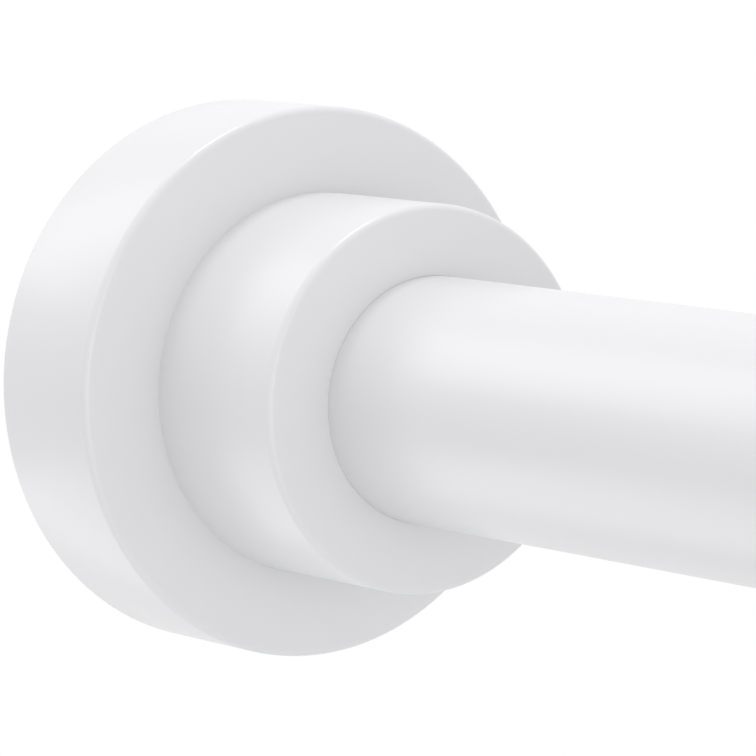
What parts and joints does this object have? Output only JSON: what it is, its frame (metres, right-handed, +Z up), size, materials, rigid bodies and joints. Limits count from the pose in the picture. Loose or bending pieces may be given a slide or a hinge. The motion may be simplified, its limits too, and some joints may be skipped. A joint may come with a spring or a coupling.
{
  "type": "spring tension rod",
  "caption": "White round tension rod with stepped wall caps, telescoping tubes, a twist lock and a compression spring inside.",
  "frame": {"origin": "centre of the wall face of the pad at the outer tube's end", "axes": "+X along the rod, away from that wall; +Z up"},
  "size_m": [0.508, 0.058, 0.058],
  "materials": {
    "cap_plastic": "satin moulded white",
    "tube_paint": "satin white powder coat",
    "collar_plastic": "satin moulded white",
    "pad_rubber": "matte pale grey rubber",
    "plug_plastic": "natural moulded plastic",
    "zinc_steel": "bright zinc plate",
    "spring_steel": "oiled spring wire",
    "rod_steel": "bright drawn bar",
    "hub_plastic": "black glass-filled plastic",
    "cam_plastic": "red moulded plastic",
    "bush_plastic": "natural acetal"
  },
  "bodies": {
    "fixed_tube": {"outer_tube": "tube_paint", "tube_collar": "collar_plastic", "wall_cap_a": "cap_plastic", "wall_pad_a": "pad_rubber", "end_plug_a": "plug_plastic", "cap_screw_a": "zinc_steel", "cap_washer_a": "zinc_steel"},
    "lock_carriage": {"drag_bush": "bush_plastic"},
    "lock_core": {"lock_hub": "hub_plastic", "guide_rod": "rod_steel", "hub_pin": "spring_steel", "thrust_washer": "bush_plastic", "retaining_clip": "spring_steel", "spring_washer_a": "zinc_steel", "compression_spring": "spring_steel", "stop_washer": "zinc_steel", "stop_nut": "zinc_steel"},
    "cam": {"cam_ring": "cam_plastic"},
    "sliding_tube": {"inner_tube": "tube_paint", "spring_plug": "plug_plastic", "spring_washer_b": "zinc_steel", "end_plug_b": "plug_plastic", "cap_screw_b": "zinc_steel", "cap_washer_b": "zinc_steel", "wall_cap_b": "cap_plastic", "wall_pad_b": "pad_rubber"}
  },
  "joints": [
    {"name": "length_adjust", "type": "slide", "parent": "fixed_tube", "child": "lock_carriage", "axis": [1, 0, 0], "range_m": [-0.0796, 0.1016]},
    {"name": "twist_lock", "type": "hinge", "parent": "lock_carriage", "child": "lock_core", "pos_m": [0.1426, 0, 0], "axis": [1, 0, 0], "range_deg": [0, 44]},
    {"name": "cam_turn", "type": "hinge", "parent": "lock_core", "child": "cam", "pos_m": [0.1426, 0, 0.0006], "axis": [1, 0, 0], "range_deg": [-44, 0]},
    {"name": "spring_travel", "type": "slide", "parent": "lock_core", "child": "sliding_tube", "axis": [1, 0, 0], "range_m": [-0.022, 0], "stiffness_N_per_m": 4530, "springref_m": 0.003, "deforming": ["compression_spring"]}
  ],
  "couplings": [
    {"joint": "cam_turn", "follows": "twist_lock", "ratio": -1}
  ]
}
